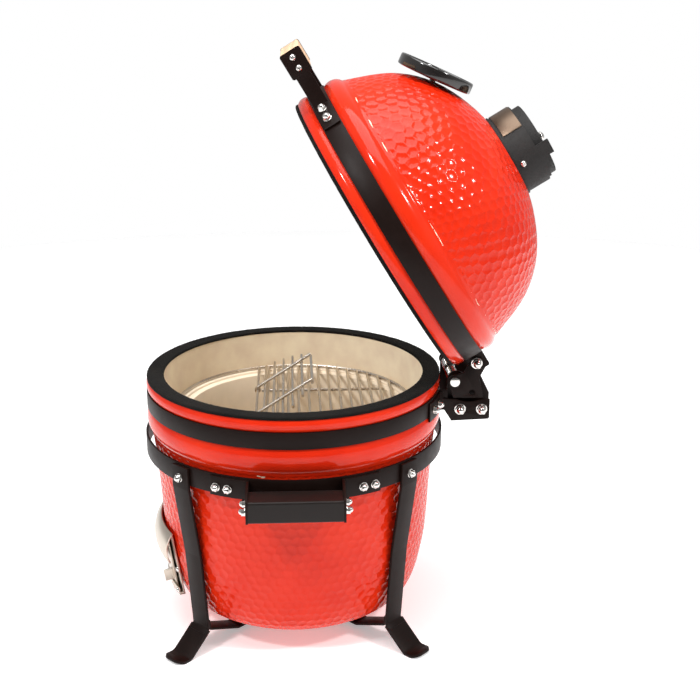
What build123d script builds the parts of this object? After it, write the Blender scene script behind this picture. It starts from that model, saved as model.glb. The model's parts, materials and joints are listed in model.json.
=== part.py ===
from build123d import *
import os
from math import asin, atan, cos, degrees, hypot, radians, sin, sqrt

# Compact ceramic kamado grill on a low steel stand, millimetres.
# Everything is drawn about the bowl's upright axis, with height 0 at the plane where the two felt
# gaskets meet. The front, with the draft door and the lid handle, is at -Y and the hinge is at +Y.
# The lid's pieces are drawn closed and are written swung open about the hinge pin.
# Angles named *_az are measured about the bowl's axis from the front (-Y) towards +X.

os.makedirs("parts", exist_ok=True)

# --- driving dimensions -------------------------------------------------------------------------
rim_height = 354.0          # gasket plane above the ground
axis_shift_y = -71.7        # bowl axis from the origin, which is under the middle of the open grill
open_angle = 58.7           # lid swing
pivot_y, pivot_z = 216.0, -7.0

rim_inner_r, rim_outer_r = 177.5, 200.0
felt_inner_r = 177.0
base_felt_t = 3.0
lid_felt_bottom, lid_felt_top = 0.5, 5.5

band_t = 2.6
base_band_r = 201.0         # outside of the base band
base_band_top, base_band_bottom = -19.0, -41.0
lid_band_r = 204.0
lid_band_bottom, lid_band_top = 21.0, 45.5
band_gap_x = 47.0           # inner face of the band's clamping ears, either side of the hinge
ear_t = 2.5

ring_r, ring_t = 204.5, 3.0
ring_top, ring_bottom = -80.0, -106.7
leg_w, leg_t = 30.0, 4.0
foot_w = 35.0
leg_az = {"front_right": 45, "back_right": 135, "back_left": 225, "front_left": 315}

grip_in_x, grip_out_x = 212.0, 248.0
grip_top, grip_bottom = -89.5, -117.5
bracket_y, bracket_t = 58.0, 3.0
bracket_az = 31.2           # end of a bracket's foot, from the side of the bowl

dome_hole_r = 42.0
dome_seat_z = 202.5
vent_r, vent_wall = 54.5, 5.0
vent_wall_top = 237.0
vent_holes = 6
cap_r = 49.0
cap_top = 249.0

thermo_r, thermo_h = 50.5, 15.0
thermo_tilt = 34.9          # from upright towards the front
thermo_y, thermo_z = -136.3, 169.5

handle_x = 74.5             # inner face of a lid handle arm
arm_t = 3.0

wire_r = 2.0
grid_wire_r = 2.5
grid_r = 163.0
grid_z = -51.5
flap_y = -52.0              # hinge rod of the folding part of the grid
flap_open = 147.5
flap_cross_x = 55.0

cover_half_az = 28.0        # draft door frame, either side of the front
draft_left_az, draft_right_az = -22.0, 1.0
door_travel_az = 23.0
slide_gap = 0.4


def upright(az, height=0.0):
    """Radial plane at an angle from the front: x is outwards from the bowl's axis, y is up."""
    a = radians(az - 90)
    return Plane(origin=(0, 0, height), x_dir=(cos(a), sin(a), 0), z_dir=(sin(a), -cos(a), 0))


def outward(az, r, z, dip=0.0):
    """Plane that faces outwards from a surface about the bowl's axis, dipped down by an angle."""
    a = radians(az - 90)
    flat = cos(radians(dip))
    return Plane(origin=(r * cos(a), r * sin(a), z), x_dir=(-sin(a), cos(a), 0),
                 z_dir=(cos(a) * flat, sin(a) * flat, -sin(radians(dip))))


def seated(part):
    """A piece of the base, moved from the bowl's axis to the grill's own origin."""
    return part.moved(Location((0, axis_shift_y, rim_height)))


def opened(part):
    """A piece of the lid, swung from closed to open and moved like the base."""
    return seated(part.rotate(Axis((0, pivot_y, pivot_z), (1, 0, 0)), -open_angle))


def hoop(inner, outer, bottom, top, start_az=0.0, sweep_az=360.0, mode=Mode.ADD):
    """Hoop with a square section about the bowl's axis, or a stretch of one."""
    with BuildSketch(upright(start_az)) as section:
        with Locations(((inner + outer) / 2, (bottom + top) / 2)):
            Rectangle(outer - inner, top - bottom)
    revolve(section.sketch, axis=Axis.Z, revolution_arc=sweep_az, mode=mode)


def domed(r, edge, top):
    """Outline of a spherical cap on its axis: flat face at edge, crown at top."""
    ball_r = (r * r + (top - edge) ** 2) / (2 * (top - edge))
    half = asin(r / ball_r) / 2
    with BuildLine() as outline:
        Line((0, edge), (r, edge))
        ThreePointArc((r, edge), (ball_r * sin(half), top - ball_r + ball_r * cos(half)), (0, top))
        Line((0, top), (0, edge))
    return outline.line


# --- fasteners, drawn once and copied into groups -----------------------------------------------
def acorn_nut(across, washer_r):
    """Domed nut on a washer, standing on its plane."""
    with BuildPart() as nut:
        Cylinder(washer_r, 1.2, align=(Align.CENTER, Align.CENTER, Align.MIN))
        with BuildSketch(Plane.XY.offset(1.2)):
            RegularPolygon(across / 2, 6, major_radius=False)
        extrude(amount=across * 0.42)
        flats_top = 1.2 + across * 0.42
        with BuildSketch(Plane.XZ):
            make_face(domed(across * 0.45, flats_top, flats_top + across * 0.4))
        revolve(axis=Axis.Z)
    return nut.part


def screw_head(r, h):
    """Low domed screw head with a cross recess, standing on its plane."""
    with BuildPart() as head:
        with BuildSketch(Plane.XZ):
            make_face(domed(r, 0, h))
        revolve(axis=Axis.Z)
        with BuildSketch(Plane.XY.offset(h)):
            Rectangle(r * 1.1, r * 0.26)
            Rectangle(r * 0.26, r * 1.1)
        extrude(amount=-h * 0.45, mode=Mode.SUBTRACT)
    return head.part


small_nut = acorn_nut(9.0, 5.6)
large_nut = acorn_nut(12.0, 7.6)
screw = screw_head(4.2, 2.6)


def group(piece, planes):
    """Copies of one fastener, one on each plane."""
    with BuildPart() as copies:
        with Locations(*[plane.location for plane in planes]):
            add(piece)
    return copies


# --- bowl ---------------------------------------------------------------------------------------
groove_r = base_band_r - band_t
with BuildPart() as base_shell:
    with BuildSketch(Plane.XZ):
        with BuildLine():
            Line((rim_inner_r, -base_felt_t), (rim_outer_r - 1.5, -base_felt_t))
            ThreePointArc((rim_outer_r - 1.5, -base_felt_t), (201.0, -9.5), (groove_r, base_band_top))
            Line((groove_r, base_band_top), (groove_r, base_band_bottom))
            ThreePointArc((groove_r, base_band_bottom), (201.8, -55.0), (195.6, -75.0))
            Spline((195.6, -75.0), (192.0, -110.0), (189.0, -150.0), (183.6, -230.0), (178.5, -260.0),
                   (171.8, -288.0), (163.0, -308.0), (149.0, -321.0), (126.0, -331.5), (97.0, -338.0),
                   (60.0, -341.0), tangents=((-0.12, -1), (-1, 0)))
            Line((60.0, -341.0), (0, -341.0))
            Line((0, -341.0), (0, -318.0))
            Line((0, -318.0), (100.0, -318.0))
            ThreePointArc((100.0, -318.0), (145.0, -292.0), (163.0, -235.0))
            Line((163.0, -235.0), (175.0, -54.0))
            Line((175.0, -54.0), (rim_inner_r, -base_felt_t))
        make_face()
    revolve(axis=Axis.Z)
    with BuildSketch(upright(draft_left_az)):
        with Locations((180.0, -264.0)):
            Rectangle(70.0, 44.0)
    revolve(axis=Axis.Z, revolution_arc=draft_right_az - draft_left_az, mode=Mode.SUBTRACT)
base_shell.part.label = "base_shell"
export_step(seated(base_shell.part), "parts/base_shell.step")

with BuildPart() as base_gasket:
    hoop(felt_inner_r, rim_outer_r, -base_felt_t, 0)
    fillet(base_gasket.edges().group_by(Axis.Z)[-1], 1.2)
base_gasket.part.label = "base_gasket"
export_step(seated(base_gasket.part), "parts/base_gasket.step")


def clamp_band(outer_r, bottom, top, ear_out):
    """Sheet hoop, open behind the hinge, with an ear turned out at each end."""
    inner = outer_r - band_t + 0.1
    gap_az = 180 - 180 * (band_gap_x + ear_t) / outer_r / 3.14159
    with BuildPart() as band:
        hoop(inner, outer_r, bottom, top, -gap_az, 2 * gap_az)
        root = sqrt(inner**2 - band_gap_x**2)
        with BuildSketch(Plane.YZ.offset(band_gap_x)):
            with Locations(((root + ear_out) / 2, (bottom + top) / 2)):
                RectangleRounded(ear_out - root, top - bottom, 3.0)
        extrude(amount=ear_t)
        mirror(about=Plane.YZ)
    return band


base_band = clamp_band(base_band_r, base_band_bottom, base_band_top, 207.0)
base_band.part.label = "base_band"
export_step(seated(base_band.part), "parts/base_band.step")

# --- inside the bowl ----------------------------------------------------------------------------
with BuildPart() as firebox:
    with BuildSketch(Plane.XZ):
        with BuildLine():
            Polyline((0, -318.0), (96.0, -318.0), (124.0, -290.0), (150.0, -225.0), (158.0, -150.0),
                     (138.0, -150.0), (130.0, -222.0), (106.0, -262.0), (96.0, -300.0), (0, -300.0), close=True)
        make_face()
    revolve(axis=Axis.Z)
    with BuildSketch(Plane.XZ.offset(80)):
        with Locations((0, -280.0)):
            Rectangle(84.0, 34.0)
    extrude(amount=90, mode=Mode.SUBTRACT)
    with PolarLocations(135.0, 8, start_angle=22.5):
        with Locations((0, 0, -205.0)):
            Cylinder(9.0, 60.0, rotation=(0, 90, 0), mode=Mode.SUBTRACT)
firebox.part.label = "firebox"
export_step(seated(firebox.part), "parts/firebox.step")

fire_ring_top = grid_z - grid_wire_r
with BuildPart() as fire_ring:
    hoop(147.0, 167.5, -150.0, fire_ring_top)
    hoop(140.0, 156.0, fire_ring_top - 3.5, fire_ring_top + 1, mode=Mode.SUBTRACT)
    with Locations((0, -158.0, -150.0)):
        Box(70.0, 40.0, 24.0, mode=Mode.SUBTRACT)
fire_ring.part.label = "fire_ring"
export_step(seated(fire_ring.part), "parts/fire_ring.step")

with BuildPart() as fire_grate:
    with BuildSketch(Plane.XY.offset(-261.5)):
        Circle(104.0)
        Circle(6.0, mode=Mode.SUBTRACT)
        for slot_y in range(-84, 85, 14):
            if slot_y:
                with Locations((0, slot_y)):
                    Rectangle(2 * sqrt(97.0**2 - slot_y**2), 7.0, mode=Mode.SUBTRACT)
        Rectangle(8.0, 208.0)
    extrude(amount=5.0)
    with BuildSketch(Plane.XY.offset(-261.5)):
        Circle(104.0)
        Circle(98.0, mode=Mode.SUBTRACT)
    extrude(amount=5.0)
fire_grate.part.label = "fire_grate"
export_step(seated(fire_grate.part), "parts/fire_grate.step")

grid_pitch = 14.6
rods_behind = 14
with BuildPart() as cooking_grid:
    with Locations((0, 0, grid_z)):
        Torus(grid_r, grid_wire_r)
    for i in range(rods_behind):
        rod_y = flap_y + grid_pitch * i
        with Locations(Location((0, rod_y, grid_z), (0, 90, 0))):
            Cylinder(wire_r, 2 * sqrt(grid_r**2 - rod_y**2))
    cross_z = grid_z - 2 * wire_r + 0.6
    for cross_x in (-60.0, 60.0):
        with Locations(Location((cross_x, (flap_y + 130) / 2 + 3, cross_z), (90, 0, 0))):
            Cylinder(wire_r, 130 - flap_y - 6)
cooking_grid.part.label = "cooking_grid"
export_step(seated(cooking_grid.part), "parts/cooking_grid.step")

flap_pitch = 15.5
flap_rods = 6
eye_r = wire_r + 0.08
hinge_rod = Axis((0, flap_y, grid_z), (1, 0, 0))
with BuildPart() as grid_flap:
    for i in range(flap_rods):
        reach = 13.0 + flap_pitch * i
        half = sqrt((grid_r - 9.0) ** 2 - (flap_y - reach) ** 2)
        with Locations(Location((0, flap_y - reach, grid_z), (0, 90, 0))):
            Cylinder(wire_r, 2 * half)
    for cross_x in (-flap_cross_x, flap_cross_x):
        far = 13.0 + flap_pitch * (flap_rods - 1)
        with Locations(Location((cross_x, flap_y - far / 2 - 2, cross_z), (90, 0, 0))):
            Cylinder(wire_r, far)
        with Locations(Location((cross_x, flap_y, grid_z), (0, 90, 0))):
            Cylinder(eye_r + 2.2, 6.0)
            Cylinder(eye_r, 8.0, mode=Mode.SUBTRACT)
grid_flap.part.label = "grid_flap"
export_step(seated(grid_flap.part.rotate(hinge_rod, -flap_open)), "parts/grid_flap.step")


# --- draft door: frame, mesh screen and door, all surfaces of revolution so that they slide ------
cover_top, cover_bottom = -208.0, -300.0
cover_slope = (174.0 - 189.0) / (cover_bottom - cover_top)


def cover_r(z, off=0.0):
    """Inside radius of the draft frame's back sheet at a height, plus a distance outwards."""
    return 189.0 + cover_slope * (z - cover_top) + off


def cone_panel(bottom, top, off, t, start_az, sweep_az, mode=Mode.ADD):
    """Stretch of sheet that leans with the bowl."""
    with BuildSketch(upright(start_az)) as section:
        with BuildLine():
            Polyline((cover_r(bottom, off), bottom), (cover_r(bottom, off + t), bottom),
                     (cover_r(top, off + t), top), (cover_r(top, off), top), close=True)
        make_face()
    revolve(section.sketch, axis=Axis.Z, revolution_arc=sweep_az, mode=mode)


sheet_t = 2.0
screen_off = sheet_t + slide_gap
screen_t = 1.4
door_off = screen_off + screen_t + slide_gap
door_t = 2.0
rail_off = door_off + door_t + slide_gap
rail_t = 1.6
with BuildPart() as draft_frame:
    cone_panel(cover_bottom, cover_top, 0, sheet_t, -cover_half_az, 2 * cover_half_az)
    cone_panel(-283.0, -245.0, -1, sheet_t + 2, draft_left_az + 1, draft_right_az - draft_left_az - 2,
               Mode.SUBTRACT)
    cone_panel(cover_bottom, cover_bottom + 4.0, 0, rail_off + rail_t, -cover_half_az, 2 * cover_half_az)
    cone_panel(cover_bottom, cover_bottom + 12.0, rail_off, rail_t, -cover_half_az, 2 * cover_half_az)
    # The top rail is rolled outwards into a hood over the door.
    with BuildSketch(upright(-cover_half_az)):
        hood = [(cover_r(cover_top, 0), cover_top + 2.0), (cover_r(-222.0, 11.5), -224.0),
                (cover_r(-244.0, 11.0), -248.0)]
        with BuildLine():
            ThreePointArc(*hood)
        trace(line_width=2.4)
    revolve(axis=Axis.Z, revolution_arc=2 * cover_half_az)
    for end_az in (-cover_half_az, cover_half_az - 1.4):
        cone_panel(cover_bottom, cover_top, 0, screen_off, end_az, 1.4)
draft_frame.part.label = "draft_frame"
export_step(seated(draft_frame.part), "parts/draft_frame.step")

panel_bottom, panel_top = cover_bottom + 4.6, -218.0
panel_az = draft_right_az - draft_left_az + 2.0
screen_start = draft_left_az - 1.0
with BuildPart() as mesh_screen:
    cone_panel(panel_bottom, panel_top, screen_off, screen_t, screen_start, panel_az)
    for row in range(5):
        for column in range(9):
            hole_az = screen_start + 2.5 + column * 2.5
            hole_z = -278.0 + row * 8.0
            with Locations(outward(hole_az, cover_r(hole_z), hole_z).location):
                Cylinder(2.2, 20.0, mode=Mode.SUBTRACT)
mesh_screen.part.label = "mesh_screen"
export_step(seated(mesh_screen.part), "parts/mesh_screen.step")

door_start = screen_start + door_travel_az
knob_az = door_start + panel_az - 4.5
knob_z = -276.5
cover_dip = degrees(atan(cover_slope))
with BuildPart() as draft_door:
    cone_panel(panel_bottom, panel_top, door_off, door_t, door_start, panel_az)
    with BuildSketch(outward(knob_az, cover_r(knob_z, door_off + 0.5), knob_z, cover_dip)):
        RectangleRounded(4.0, 17.0, 1.5)
    extrude(amount=12.5)
draft_door.part.label = "draft_door"
export_step(seated(draft_door.part), "parts/draft_door.step")

frame_screw_z = (-262.0, -294.0)
draft_screws = group(screw, [outward(az, cover_r(z, 0.1 + (rail_off + rail_t if z < -288 else screen_off)), z,
                                     cover_dip)
                             for az in (-cover_half_az + 0.7 * 1.9, cover_half_az - 0.7 * 1.9)
                             for z in frame_screw_z])
draft_screws.part.label = "draft_screws"
export_step(seated(draft_screws.part), "parts/draft_screws.step")

# --- stand --------------------------------------------------------------------------------------
with BuildPart() as stand_ring:
    hoop(ring_r - ring_t, ring_r, ring_bottom, ring_top)
stand_ring.part.label = "stand_ring"
export_step(seated(stand_ring.part), "parts/stand_ring.step")

leg_line_r = ring_r + 0.1 + leg_t / 2
leg_foot_r, leg_foot_z = 182.6, -322.0
foot_z = leg_t / 2 - rim_height
for place, az in leg_az.items():
    with BuildPart() as leg:
        with BuildSketch(upright(az)):
            with BuildLine():
                FilletPolyline((leg_line_r, -82.0), (leg_line_r, -112.0), (191.5, -212.0),
                               (leg_foot_r, leg_foot_z), (leg_foot_r + 8, leg_foot_z - 5.6), radius=6.0)
            trace(line_width=leg_t)
        extrude(amount=leg_w / 2, both=True)
        with BuildSketch(upright(az)):
            with BuildLine():
                FilletPolyline((leg_foot_r + 1.6, leg_foot_z - 1.2), (217.5, foot_z), (227.5, foot_z),
                               (238.5, foot_z + 3.4), radius=10.0)
            trace(line_width=leg_t)
        extrude(amount=foot_w / 2, both=True)
        toe = leg.edges().filter_by(lambda edge: abs(edge.length - leg_t) < 0.3)
        fillet(toe.sort_by(lambda edge: hypot(edge.center().X, edge.center().Y))[-2:], 12.0)
    leg.part.label = f"leg_{place}"
    export_step(seated(leg.part), f"parts/leg_{place}.step")

with BuildPart() as stand_cross:
    for az in (45, 135):
        with BuildSketch(upright(az)):
            with BuildLine():
                FilletPolyline((-179.2, -312.0), (-178.4, -325.0), (-126.0, -345.0), (126.0, -345.0),
                               (178.4, -325.0), (179.2, -312.0), radius=5.0)
            trace(line_width=3.6)
        extrude(amount=12.0, both=True)
stand_cross.part.label = "stand_cross"
export_step(seated(stand_cross.part), "parts/stand_cross.step")

with BuildPart() as bowl_pad:
    with BuildSketch(Plane.XY.offset(-343.1)):
        Circle(45.0)
    extrude(amount=2.1)
bowl_pad.part.label = "bowl_pad"
export_step(seated(bowl_pad.part), "parts/bowl_pad.step")

leg_nut_r = leg_line_r + leg_t / 2
leg_bolts = group(small_nut, [outward(az, leg_nut_r, -97.5) for az in leg_az.values()])
leg_bolts.part.label = "leg_bolts"
export_step(seated(leg_bolts.part), "parts/leg_bolts.step")

# --- side handles -------------------------------------------------------------------------------
bracket_foot_r = ring_r + 0.1
bracket_top = -82.0
foot_start = 90 - bracket_az
foot_sweep = bracket_az - 17.1
bracket_nut_az = (24.0, 28.6)
with BuildPart() as bracket:
    hoop(bracket_foot_r, bracket_foot_r + bracket_t, -107.5, bracket_top, foot_start, foot_sweep)
    with BuildSketch(Plane.XZ.offset(bracket_y)):
        with BuildLine():
            Polyline((196.4, bracket_top), (212.0, bracket_top), (grip_out_x, grip_top + 1), (grip_out_x, grip_bottom),
                     (grip_in_x - 2, grip_bottom), (196.4, -107.5), close=True)
        make_face()
    extrude(amount=bracket_t)
corners = {"right_front": (), "right_back": (Plane.XZ,), "left_front": (Plane.YZ,),
           "left_back": (Plane.XZ, Plane.YZ)}
for corner, flips in corners.items():
    copy = bracket.part
    for plane in flips:
        copy = copy.mirror(plane)
    copy.label = f"bracket_{corner}"
    export_step(seated(copy), f"parts/bracket_{corner}.step")

for side, sign in (("right", 1), ("left", -1)):
    with BuildPart() as grip:
        with Locations((sign * (grip_in_x + grip_out_x) / 2, 0, (grip_top + grip_bottom) / 2)):
            Box(grip_out_x - grip_in_x, 2 * bracket_y - 0.2, grip_top - grip_bottom)
        fillet(grip.edges().filter_by(Axis.Y), 3.0)
    grip.part.label = f"side_grip_{side}"
    export_step(seated(grip.part), f"parts/side_grip_{side}.step")

bracket_bolts = group(small_nut, [outward(az, bracket_foot_r + bracket_t, -96.0)
                                  for side_az in (90, 270) for az in
                                  [side_az + s * a for s in (-1, 1) for a in bracket_nut_az]])
bracket_bolts.part.label = "bracket_bolts"
export_step(seated(bracket_bolts.part), "parts/bracket_bolts.step")

grip_bolts = group(small_nut, [Plane(origin=(sx * x, sy * (bracket_y + bracket_t), -103.5),
                                     x_dir=(1, 0, 0), z_dir=(0, sy, 0))
                               for sx in (-1, 1) for sy in (-1, 1) for x in (218.0, 241.0)])
grip_bolts.part.label = "grip_bolts"
export_step(seated(grip_bolts.part), "parts/grip_bolts.step")

# --- hinge, base side ---------------------------------------------------------------------------
plate_x, plate_t = band_gap_x + ear_t + 0.1, 2.5
cradle_x = 42.0             # outside of the cradle's cheeks
strap_az = 12.5             # start and end of the strap that lies on the base band, from the back
strap_end_az = 29.0
anchor_a, anchor_b = (224.0, -46.0), (253.3, -46.5)
with BuildPart() as hinge_plate:
    with BuildSketch(Plane.YZ.offset(plate_x)):
        with BuildLine():
            Polyline((198.0, -31.0), (218.6, -32.6))
            ThreePointArc((218.6, -32.6), (235.2, -36.4), (252.4, -33.2))
            Polyline((252.4, -33.2), (264.4, -33.2), (264.4, -59.4), (262.4, -61.4), (212.6, -63.2),
                     (202.5, -47.2), (198.0, -47.2), (198.0, -31.0))
        make_face()
        with Locations(anchor_a, anchor_b):
            Circle(4.0, mode=Mode.SUBTRACT)
    extrude(amount=plate_t)
    hoop(base_band_r + 0.1, base_band_r + 2.6, -47.2, -22.0, 180 - strap_end_az, strap_end_az - strap_az - 1.8)
    with BuildSketch(Plane.YZ.offset(plate_x)):
        with Locations((197.8, -34.6)):
            Rectangle(6.0, 25.2)
    extrude(amount=plate_t)
for side, plane in (("right", None), ("left", Plane.YZ)):
    copy = hinge_plate.part.mirror(plane) if plane else hinge_plate.part
    copy.label = f"hinge_plate_{side}"
    export_step(seated(copy), f"parts/hinge_plate_{side}.step")

pin_r = 4.0
with BuildPart() as hinge_cradle:
    with BuildSketch(Plane.YZ.offset(cradle_x - 3.0)):
        with BuildLine():
            Polyline((207.4, -8.0), (207.4, -50.0), (212.8, -61.5), (264.4, -61.5), (264.4, -26.4),
                     (251.0, -3.4), (226.0, 2.4))
            ThreePointArc((226.0, 2.4), (212.5, 2.6), (207.4, -8.0))
        make_face()
        with Locations((pivot_y, pivot_z), anchor_a, anchor_b):
            Circle(pin_r, mode=Mode.SUBTRACT)
        with Locations((223.0, -24.0)):
            Circle(4.5, mode=Mode.SUBTRACT)
    extrude(amount=3.0)
    mirror(about=Plane.YZ)
    with Locations((0, 262.9, -44.0)):
        Box(2 * cradle_x, 3.0, 35.0)
    with Locations((0, 238.6, -60.0)):
        Box(2 * cradle_x, 51.6, 3.0)
hinge_cradle.part.label = "hinge_cradle"
export_step(seated(hinge_cradle.part), "parts/hinge_cradle.step")

with BuildPart() as hinge_spacers:
    for x in (-1, 1):
        for anchor in (anchor_a, anchor_b):
            with BuildSketch(Plane.YZ.offset(x * (cradle_x + plate_x) / 2)):
                with Locations(anchor):
                    Circle(7.0)
                    Circle(4.0, mode=Mode.SUBTRACT)
            extrude(amount=(plate_x - cradle_x) / 2, both=True)
hinge_spacers.part.label = "hinge_spacers"
export_step(seated(hinge_spacers.part), "parts/hinge_spacers.step")

side_faces = [(x, Plane(origin=(x * (plate_x + plate_t), y, z), x_dir=(0, 1, 0), z_dir=(x, 0, 0)))
              for x in (-1, 1) for y, z in (anchor_a, anchor_b)]
with BuildPart() as hinge_anchor_bolts:
    with Locations(*[plane.location for _, plane in side_faces]):
        add(large_nut)
    for y, z in (anchor_a, anchor_b):
        with Locations(Location((0, y, z), (0, 90, 0))):
            Cylinder(3.9, 2 * (plate_x + plate_t))
hinge_anchor_bolts.part.label = "hinge_anchor_bolts"
export_step(seated(hinge_anchor_bolts.part), "parts/hinge_anchor_bolts.step")

strap_bolts = group(small_nut, [outward(180 + s * a, base_band_r + 2.6, -34.0)
                                for s in (-1, 1) for a in (19.0, 25.0)])
strap_bolts.part.label = "strap_bolts"
export_step(seated(strap_bolts.part), "parts/strap_bolts.step")

pin_end_x = plate_x + plate_t + 0.8
with BuildPart() as hinge_pin:
    with Locations(Location((0, pivot_y, pivot_z), (0, 90, 0))):
        Cylinder(pin_r, 2 * pin_end_x)
        with Locations((0, 0, pin_end_x + 1.2), (0, 0, -pin_end_x - 1.2)):
            Cylinder(6.5, 2.4)
        with Locations((0, 0, cradle_x + 3.6), (0, 0, -cradle_x - 3.6)):
            Cylinder(6.5, 7.0)
hinge_pin.part.label = "hinge_pin"
export_step(seated(hinge_pin.part), "parts/hinge_pin.step")

spring_in_x, spring_out_x = 6.0, 36.0
for side, sign in (("right", 1), ("left", -1)):
    with BuildPart() as spring:
        with Locations(Location((sign * (spring_in_x + spring_out_x) / 2, pivot_y, pivot_z), (0, 90, 0))):
            Cylinder(8.2, spring_out_x - spring_in_x)
            Cylinder(pin_r + 0.4, spring_out_x - spring_in_x, mode=Mode.SUBTRACT)
    spring.part.label = f"hinge_spring_{side}"
    export_step(seated(spring.part), f"parts/hinge_spring_{side}.step")

# --- lid ----------------------------------------------------------------------------------------
thermo = Plane(origin=(0, thermo_y, thermo_z), x_dir=(1, 0, 0),
               z_dir=(0, -sin(radians(thermo_tilt)), cos(radians(thermo_tilt))))
lid_groove_r = lid_band_r - band_t
with BuildPart() as lid_shell:
    with BuildSketch(Plane.XZ):
        with BuildLine():
            Line((rim_inner_r, lid_felt_top), (rim_outer_r, lid_felt_top))
            ThreePointArc((rim_outer_r, lid_felt_top), (203.2, 12.5), (lid_groove_r, lid_band_bottom))
            Line((lid_groove_r, lid_band_bottom), (lid_groove_r, lid_band_top))
            ThreePointArc((lid_groove_r, lid_band_top), (204.0, 55.0), (196.0, 70.0))
            Spline((196.0, 70.0), (189.2, 88.0), (181.0, 109.0), (170.7, 129.5), (155.4, 150.0),
                   (134.1, 169.6), (108.5, 185.0), (78.0, 197.5), (60.0, dome_seat_z),
                   tangents=((0.1, 1), (-1, 0.15)))
            Line((60.0, dome_seat_z), (dome_hole_r, dome_seat_z))
            Line((dome_hole_r, dome_seat_z), (dome_hole_r, 181.5))
            Spline((dome_hole_r, 181.5), (85.0, 172.0), (130.0, 146.0), (160.0, 105.0), (174.0, 55.0),
                   (rim_inner_r, lid_felt_top), tangents=((1, -0.1), (0, -1)))
        make_face()
    revolve(axis=Axis.Z)
    with BuildSketch(thermo.offset(10)):
        Circle(6.0)
    extrude(amount=-60, mode=Mode.SUBTRACT)
lid_shell.part.label = "lid_shell"
export_step(opened(lid_shell.part), "parts/lid_shell.step")

with BuildPart() as lid_gasket:
    hoop(felt_inner_r, rim_outer_r, lid_felt_bottom, lid_felt_top)
    fillet(lid_gasket.edges().group_by(Axis.Z)[0], 1.5)
lid_gasket.part.label = "lid_gasket"
export_step(opened(lid_gasket.part), "parts/lid_gasket.step")

lid_band = clamp_band(lid_band_r, lid_band_bottom, lid_band_top, 221.0)
lid_band.part.label = "lid_band"
export_step(opened(lid_band.part), "parts/lid_band.step")

# Hinge plates of the lid: they hang from the band's ears and turn on the hinge pin.
ear_bolt = (209.0, 31.0)
with BuildPart() as lid_plate:
    with BuildSketch(Plane.YZ.offset(plate_x)):
        with BuildLine():
            Polyline((205.5, 40.5), (220.0, 38.5), (224.6, 31.0), (229.4, 23.5), (256.6, 14.3),
                     (235.0, -20.5), (216.0, -16.0))
            ThreePointArc((216.0, -16.0), (207.6, -10.4), (208.4, -2.4))
            Polyline((208.4, -2.4), (211.5, 10.0), (205.5, 19.0), (205.5, 40.5))
        make_face()
        fillet([v for v in vertices() if v.Y > 210 and v.Z > 10], 3.0)
        with Locations((pivot_y, pivot_z)):
            Circle(pin_r + 0.06, mode=Mode.SUBTRACT)
        with Locations((242.0, 5.0)):
            Circle(4.0, mode=Mode.SUBTRACT)
    extrude(amount=plate_t)
for side, plane in (("right", None), ("left", Plane.YZ)):
    copy = lid_plate.part.mirror(plane) if plane else lid_plate.part
    copy.label = f"lid_plate_{side}"
    export_step(opened(copy), f"parts/lid_plate_{side}.step")

with BuildPart() as lid_ear_bolts:
    for sign in (-1, 1):
        with Locations(Plane(origin=(sign * (plate_x + plate_t), *ear_bolt), x_dir=(0, 1, 0),
                             z_dir=(sign, 0, 0)).location):
            add(large_nut)
lid_ear_bolts.part.label = "lid_ear_bolts"
export_step(opened(lid_ear_bolts.part), "parts/lid_ear_bolts.step")

# --- lid handle ---------------------------------------------------------------------------------
arm_foot_r = lid_band_r + 0.1
arm_foot_az, arm_foot_end = 21.0, 35.0
arm_mid_z = 33.4
with BuildPart() as handle_arm:
    with BuildSketch(Plane.YZ.offset(handle_x)):
        with Locations(((-190.6 - 236.0) / 2, arm_mid_z)):
            Rectangle(236.0 - 190.6, 19.5)
        with Locations(((-234.0 - 267.5) / 2, arm_mid_z)):
            RectangleRounded(267.5 - 234.0, 28.0, 3.0)
    extrude(amount=arm_t)
    hoop(arm_foot_r, arm_foot_r + arm_t, arm_mid_z - 11.0, arm_mid_z + 11.0, arm_foot_az, arm_foot_end - arm_foot_az)
for side, plane in (("right", None), ("left", Plane.YZ)):
    copy = handle_arm.part.mirror(plane) if plane else handle_arm.part
    copy.label = f"handle_arm_{side}"
    export_step(opened(copy), f"parts/handle_arm_{side}.step")

with BuildPart() as lid_handle:
    with Locations((0, (-234.0 - 267.5) / 2, arm_mid_z)):
        Box(2 * handle_x - 0.2, 33.5, 27.0)
    fillet(lid_handle.edges().filter_by(Axis.X), 3.0)
lid_handle.part.label = "lid_handle"
export_step(opened(lid_handle.part), "parts/lid_handle.step")

handle_screws = group(screw, [Plane(origin=(s * (handle_x + arm_t), y, arm_mid_z), x_dir=(0, 1, 0),
                                    z_dir=(s, 0, 0)) for s in (-1, 1) for y in (-258.5, -244.0)])
handle_screws.part.label = "handle_screws"
export_step(opened(handle_screws.part), "parts/handle_screws.step")

handle_bolts = group(small_nut, [outward(s * a, arm_foot_r + arm_t, arm_mid_z - 1.0)
                                 for s in (-1, 1) for a in (25.0, 31.0)])
handle_bolts.part.label = "handle_bolts"
export_step(opened(handle_bolts.part), "parts/handle_bolts.step")

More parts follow.
